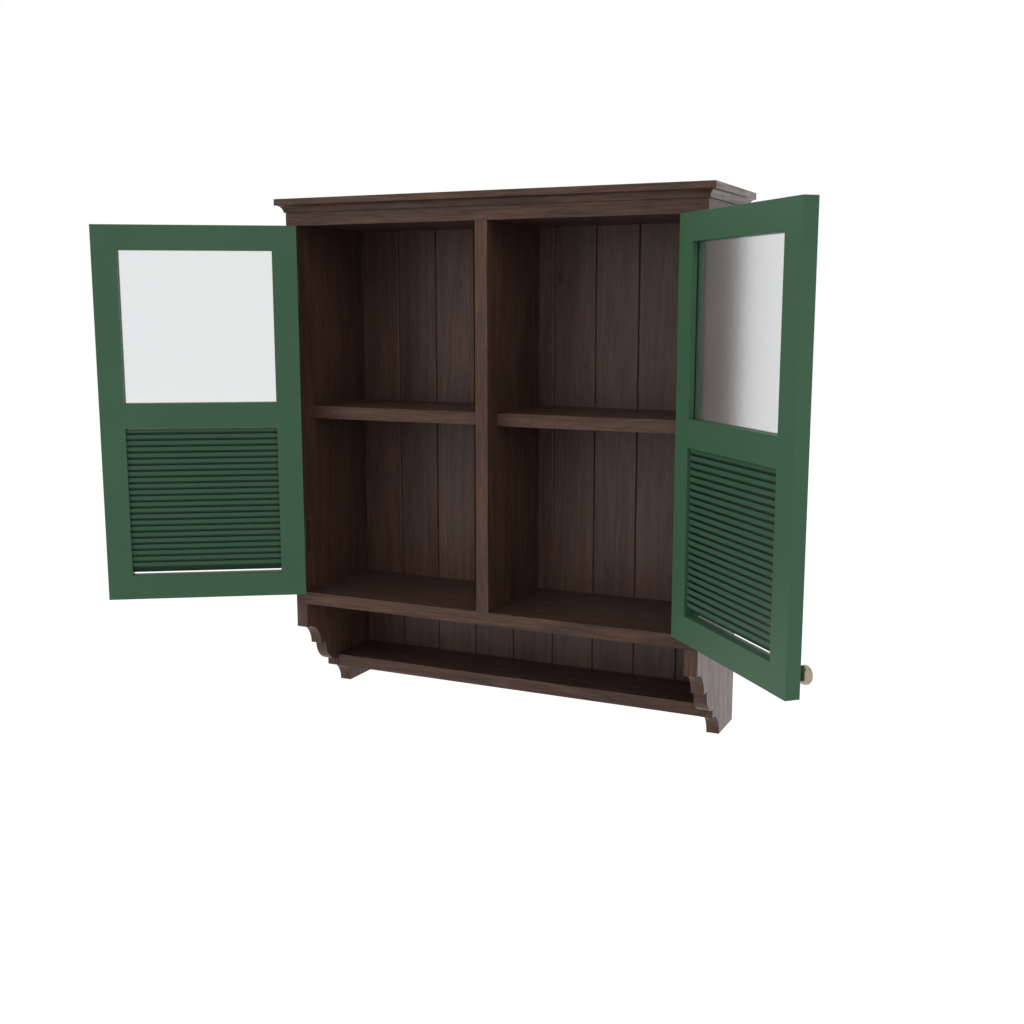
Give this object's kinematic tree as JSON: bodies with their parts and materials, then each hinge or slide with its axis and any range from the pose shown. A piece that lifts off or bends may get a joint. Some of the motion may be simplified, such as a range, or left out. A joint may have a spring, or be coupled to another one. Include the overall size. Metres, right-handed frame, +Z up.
{
  "type": "wall cabinet",
  "caption": "Wall-hung wooden cabinet with a cornice, inset green doors glazed above and louvred below, shelved bays, a boarded back and an open shelf between shaped brackets.",
  "frame": {"origin": "on the wall plane, in the middle of the width, level with the underside of the bottom board", "axes": "+X to the right along the wall, +Y into the wall, +Z up"},
  "size_m": [1.1264, 0.4392, 0.8082],
  "materials": {
    "stained_wood": "dark brown stain under satin varnish",
    "green_paint": "dark green satin paint on wood",
    "frosted_glass": "frosted",
    "pale_brass": "satin",
    "dark_bronze": "dark brown patina",
    "steel": "plated"
  },
  "bodies": {
    "carcass": {"left_side_panel": "stained_wood", "right_side_panel": "stained_wood", "bottom_board": "stained_wood", "top_board": "stained_wood", "centre_divider": "stained_wood", "left_shelf": "stained_wood", "right_shelf": "stained_wood", "lower_shelf": "stained_wood", "left_bracket": "stained_wood", "right_bracket": "stained_wood", "cornice_front": "stained_wood", "cornice_left": "stained_wood", "cornice_right": "stained_wood", "back_board_1": "stained_wood", "back_board_2": "stained_wood", "back_board_3": "stained_wood", "back_board_4": "stained_wood", "back_board_5": "stained_wood", "back_board_6": "stained_wood", "back_board_7": "stained_wood", "back_board_8": "stained_wood", "back_board_9": "stained_wood", "left_hanger_plate": "steel", "right_hanger_plate": "steel", "left_top_magnet": "steel", "right_top_magnet": "steel", "left_upper_hinge_frame_leaf": "dark_bronze", "left_lower_hinge_frame_leaf": "dark_bronze", "right_upper_hinge_frame_leaf": "dark_bronze", "right_lower_hinge_frame_leaf": "dark_bronze", "left_upper_hinge_pin": "dark_bronze", "left_lower_hinge_pin": "dark_bronze", "right_upper_hinge_pin": "dark_bronze", "right_lower_hinge_pin": "dark_bronze"},
    "left_door": {"left_door_hinge_stile": "green_paint", "left_door_lock_stile": "green_paint", "left_door_bottom_rail": "green_paint", "left_door_middle_rail": "green_paint", "left_door_top_rail": "green_paint", "left_door_glass": "frosted_glass", "left_door_louvre": "green_paint", "left_door_knob": "pale_brass", "left_door_magnet": "steel", "left_upper_hinge_door_leaf": "dark_bronze", "left_lower_hinge_door_leaf": "dark_bronze"},
    "right_door": {"right_door_hinge_stile": "green_paint", "right_door_lock_stile": "green_paint", "right_door_bottom_rail": "green_paint", "right_door_middle_rail": "green_paint", "right_door_top_rail": "green_paint", "right_door_glass": "frosted_glass", "right_door_louvre": "green_paint", "right_door_knob": "pale_brass", "right_door_magnet": "steel", "right_upper_hinge_door_leaf": "dark_bronze", "right_lower_hinge_door_leaf": "dark_bronze"}
  },
  "joints": [
    {"name": "left_door_hinge", "type": "hinge", "parent": "carcass", "child": "left_door", "pos_m": [-0.3195, -0.2014, 0.312], "axis": [0, 0, -1], "range_deg": [-147.5, 22.5]},
    {"name": "right_door_hinge", "type": "hinge", "parent": "carcass", "child": "right_door", "pos_m": [0.3195, -0.2014, 0.312], "axis": [0, 0, 1], "range_deg": [-133.5, 36.5]}
  ]
}
